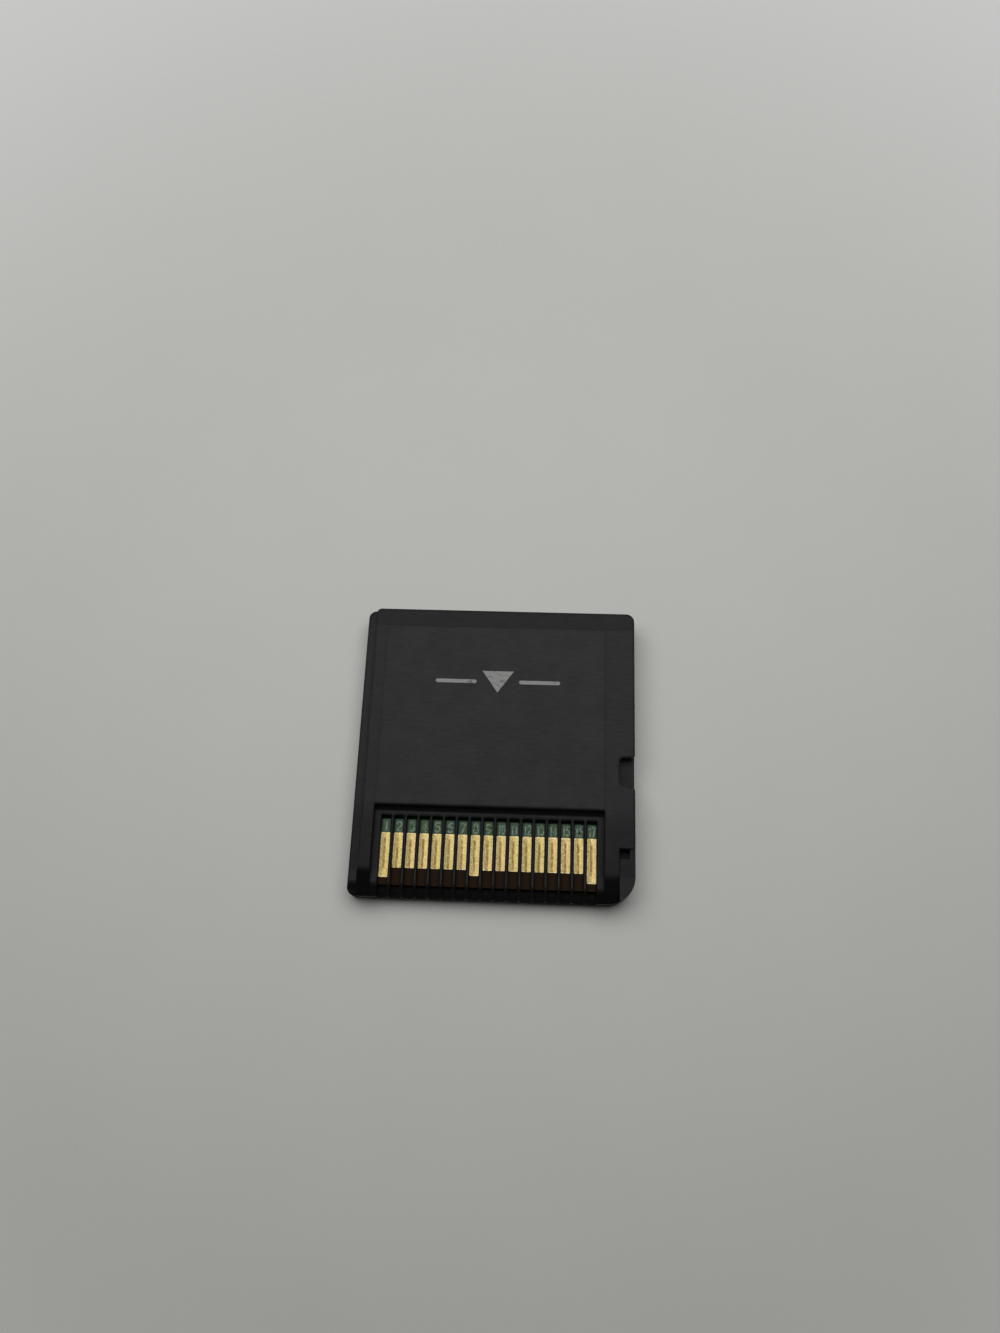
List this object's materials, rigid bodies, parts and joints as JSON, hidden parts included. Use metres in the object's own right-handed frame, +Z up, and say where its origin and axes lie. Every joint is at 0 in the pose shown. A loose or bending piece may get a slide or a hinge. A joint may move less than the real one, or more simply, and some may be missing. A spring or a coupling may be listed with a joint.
{
  "type": "game cartridge",
  "caption": "Thin rectangular game card of dark plastic, with gold contacts in a slotted window, lead-in slopes, a side ledge, a latch notch and one large corner.",
  "frame": {"origin": "middle of the label side, on the surface the card lies on", "axes": "+Z up through the thickness to the contact side, +Y from the contact edge to the grip edge, +X to the right seen from the contact side"},
  "size_m": [0.033, 0.035, 0.0038],
  "materials": {
    "shell_plastic": "fine moulded texture, charcoal, lightly scuffed",
    "board_laminate": "green solder mask over brown glass laminate",
    "gold_plating": "gold plating, satin, with a worn stripe",
    "chip_epoxy": "moulded black epoxy",
    "tinned_metal": "bright tin",
    "chip_ceramic": "fired ceramic with tinned ends"
  },
  "bodies": {
    "root": {"back_shell": "shell_plastic", "capacitor_1": "chip_ceramic", "capacitor_2": "chip_ceramic", "capacitor_3": "chip_ceramic", "circuit_board": "board_laminate", "contact_01": "gold_plating", "contact_02": "gold_plating", "contact_03": "gold_plating", "contact_04": "gold_plating", "contact_05": "gold_plating", "contact_06": "gold_plating", "contact_07": "gold_plating", "contact_08": "gold_plating", "contact_09": "gold_plating", "contact_10": "gold_plating", "contact_11": "gold_plating", "contact_12": "gold_plating", "contact_13": "gold_plating", "contact_14": "gold_plating", "contact_15": "gold_plating", "contact_16": "gold_plating", "contact_17": "gold_plating", "front_shell": "shell_plastic", "memory_chip": "chip_epoxy", "memory_chip_leads": "tinned_metal", "resistor_1": "chip_ceramic", "resistor_2": "chip_ceramic", "save_chip": "chip_epoxy", "save_chip_leads": "tinned_metal"}
  },
  "joints": []
}
